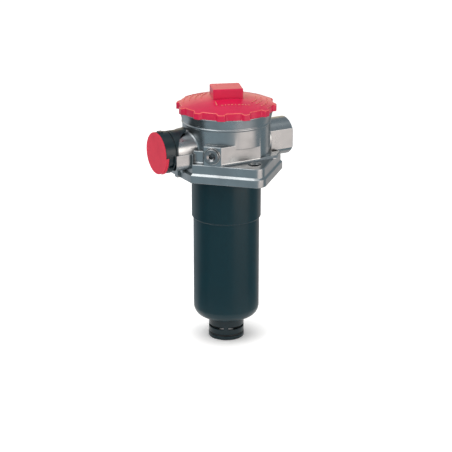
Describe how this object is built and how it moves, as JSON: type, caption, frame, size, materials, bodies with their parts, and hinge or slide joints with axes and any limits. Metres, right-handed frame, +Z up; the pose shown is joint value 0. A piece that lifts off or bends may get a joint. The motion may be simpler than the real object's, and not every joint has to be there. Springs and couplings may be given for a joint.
{
  "type": "return line filter",
  "caption": "Tank-top hydraulic return line filter: cast head with square flange and two ports, red screw cover, long black bowl with slotted outlet, element inside.",
  "frame": {"origin": "middle of the head's mounting face, on the filter's axis, where the flange meets the tank lid", "axes": "+Z up along the filter's axis out of the tank, -Y towards the side with the screw plug, +X to its right; the ports lie on the diagonal through +X+Y and -X-Y"},
  "size_m": [0.1558, 0.1571, 0.3166],
  "materials": {
    "cast_aluminium": "satin casting",
    "red_cover": "moulded satin gloss",
    "red_cap": "moulded matte",
    "black_bowl": "moulded satin",
    "black_outlet": "moulded satin",
    "black_sleeve": "moulded satin",
    "seal_rubber": "matte",
    "spring_steel": "bright wire",
    "plug_steel": "dark passivated",
    "seal_metal": "bright",
    "element_plastic": "moulded",
    "filter_paper": "pleated",
    "core_steel": "zinc plated",
    "valve_plastic": "moulded"
  },
  "bodies": {
    "housing": {"filter_head": "cast_aluminium", "filter_bowl": "black_bowl", "bowl_seal": "seal_rubber", "flange_seal": "seal_rubber", "outlet_spigot": "black_outlet", "outlet_seal": "seal_rubber", "port_sleeve": "black_sleeve", "sleeve_seal": "seal_rubber", "screw_plug": "plug_steel", "plug_seal": "seal_metal"},
    "cartridge": {"element_top_cap": "element_plastic", "element_media": "filter_paper", "element_core": "core_steel", "element_bottom_cap": "element_plastic", "element_seal": "seal_rubber", "bypass_cage": "valve_plastic", "bypass_spring": "spring_steel"},
    "bypass_valve": {"bypass_cone": "valve_plastic"},
    "cover": {"cover": "red_cover", "cover_seal": "seal_rubber", "hub_clip": "spring_steel"},
    "cap": {"protective_cap": "red_cap"}
  },
  "joints": [
    {"name": "cartridge_rise", "type": "slide", "parent": "housing", "child": "cartridge", "axis": [0, 0, 1], "range_m": [0, 0.012]},
    {"name": "cover_unscrew", "type": "hinge", "parent": "cartridge", "child": "cover", "pos_m": [0, 0, 0.08], "axis": [0, 0, 1], "range_deg": [0, 1080]},
    {"name": "bypass_open", "type": "slide", "parent": "cartridge", "child": "bypass_valve", "axis": [0, 0, -1], "range_m": [0, 0.005], "stiffness_N_per_m": 4000, "springref_m": -0.002, "deforming": ["bypass_spring"]},
    {"name": "cap_pull", "type": "slide", "parent": "housing", "child": "cap", "axis": [-0.7071, -0.7071, 0], "range_m": [0, 0.03]}
  ],
  "couplings": [
    {"joint": "cartridge_rise", "follows": "cover_unscrew", "m_per_rad": 0.00063662}
  ]
}
